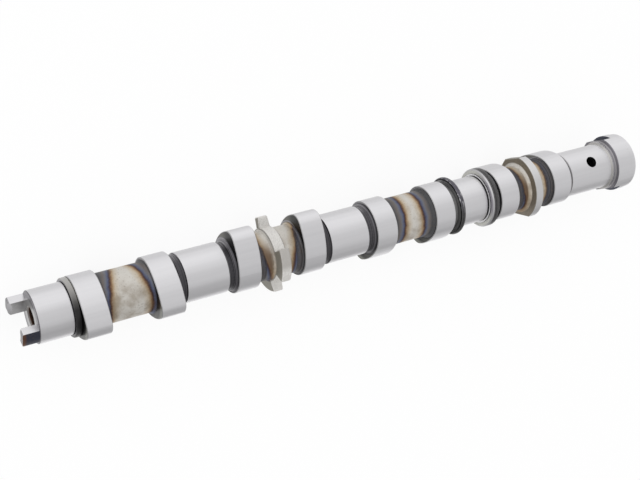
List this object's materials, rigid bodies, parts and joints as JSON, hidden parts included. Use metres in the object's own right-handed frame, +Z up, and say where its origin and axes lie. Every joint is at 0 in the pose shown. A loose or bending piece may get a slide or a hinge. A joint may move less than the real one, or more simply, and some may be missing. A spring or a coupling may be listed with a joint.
{
  "type": "camshaft",
  "caption": "One-piece engine camshaft with ground cams and bearing journals, a trigger wheel, a wrench collar, drive lugs and a sprocket flange.",
  "frame": {"origin": "on the supporting surface, below the middle of the shaft's box", "axes": "+X along the shaft towards the sprocket flange, rising 0.83 degrees because the shaft lies on its cams; +Z up"},
  "size_m": [0.3834, 0.0408, 0.0384],
  "materials": {
    "camshaft": "ground bright on cams and journals, cast with a heat tint between them"
  },
  "bodies": {
    "root": {"camshaft": "camshaft"}
  },
  "joints": []
}
